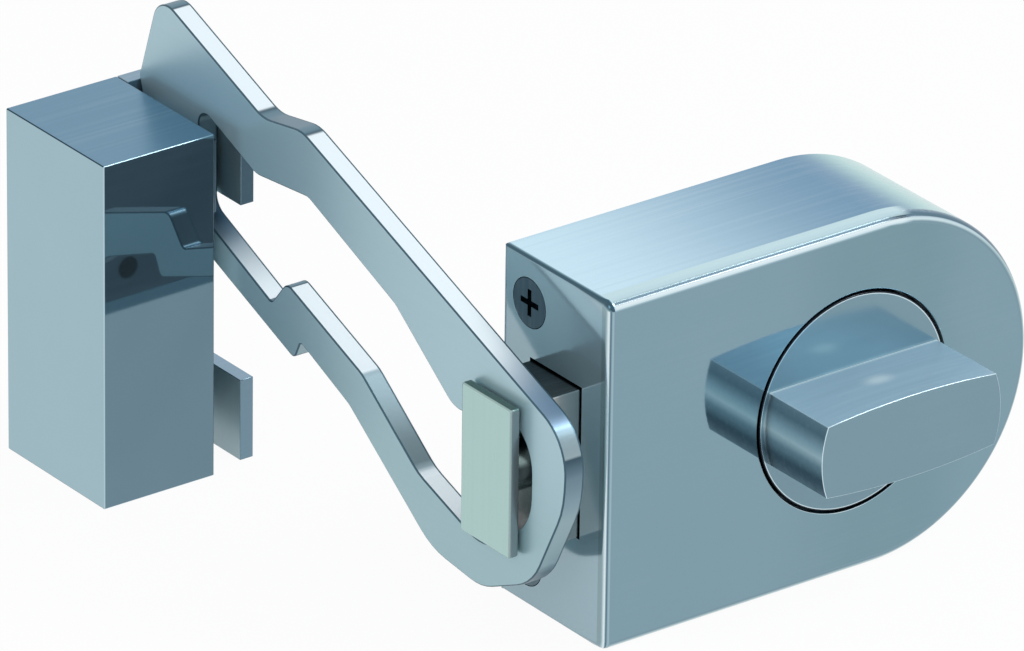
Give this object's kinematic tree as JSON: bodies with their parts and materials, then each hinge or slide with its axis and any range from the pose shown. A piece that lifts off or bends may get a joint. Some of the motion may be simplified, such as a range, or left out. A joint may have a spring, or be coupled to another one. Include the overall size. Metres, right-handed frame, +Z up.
{
  "type": "rim deadbolt",
  "caption": "Surface-mounted deadbolt with a round turn knob and a T-headed bolt held in the loop of a swinging stirrup on its strike box, shown with the door ajar.",
  "frame": {"origin": "centre of the cylinder bore in the rear plane of the lock case, the plane that meets the door, on the knob's axis", "axes": "+Y into the door along the knob's axis, +X away from the strike along the bolt's way in, +Z up"},
  "size_m": [0.1574, 0.17, 0.1006],
  "materials": {
    "case_steel": "satin",
    "strike_steel": "satin",
    "stirrup_steel": "satin",
    "plate_steel": "zinc plated",
    "screw_steel": "blackened",
    "t_head_nickel": "satin nickel",
    "bolt_steel": "ground",
    "bush_bronze": "sintered",
    "washer_plastic": "matte",
    "spring_steel": "phosphated",
    "pin_steel": "ground",
    "pinion_brass": "machined"
  },
  "bodies": {
    "case": {"case_cover": "case_steel", "back_plate": "plate_steel", "cover_screws": "screw_steel", "bolt_guide": "plate_steel", "rear_guide": "plate_steel", "guide_screws": "screw_steel", "knob_bush": "bush_bronze", "thrust_washer": "washer_plastic"},
    "knob": {"turn_knob": "case_steel", "retaining_ring": "spring_steel", "spindle": "pin_steel", "pinion": "pinion_brass", "pinion_pin": "pin_steel"},
    "bolt": {"bolt": "bolt_steel", "t_head": "t_head_nickel", "t_head_pin": "pin_steel", "rack": "bolt_steel", "rack_screws": "screw_steel"},
    "strike": {"strike_cover": "case_steel", "strike_body": "strike_steel", "strike_cover_screws": "screw_steel", "hinge_pin": "pin_steel", "pin_clip": "spring_steel", "hinge_spacer": "pin_steel", "hinge_washer": "pin_steel"},
    "stirrup": {"stirrup": "stirrup_steel", "stirrup_bush": "bush_bronze"}
  },
  "joints": [
    {"name": "knob_turn", "type": "hinge", "parent": "case", "child": "knob", "pos_m": [0, -0.036, 0], "axis": [0, 1, 0], "range_deg": [0, 90]},
    {"name": "bolt_slide", "type": "slide", "parent": "case", "child": "bolt", "axis": [1, 0, 0], "range_m": [0, 0.00943]},
    {"name": "door_travel", "type": "slide", "parent": "bolt", "child": "strike", "axis": [0, -1, 0], "range_m": [-0.004, 0.035]},
    {"name": "stirrup_swing", "type": "hinge", "parent": "strike", "child": "stirrup", "pos_m": [-0.0763, 0.0988, 0.026], "axis": [1, 0, 0], "range_deg": [-0.2, 1.5]}
  ],
  "couplings": [
    {"joint": "bolt_slide", "follows": "knob_turn", "m_per_rad": 0.006},
    {"joint": "stirrup_swing", "follows": "door_travel", "rad_per_m": 0.7}
  ]
}
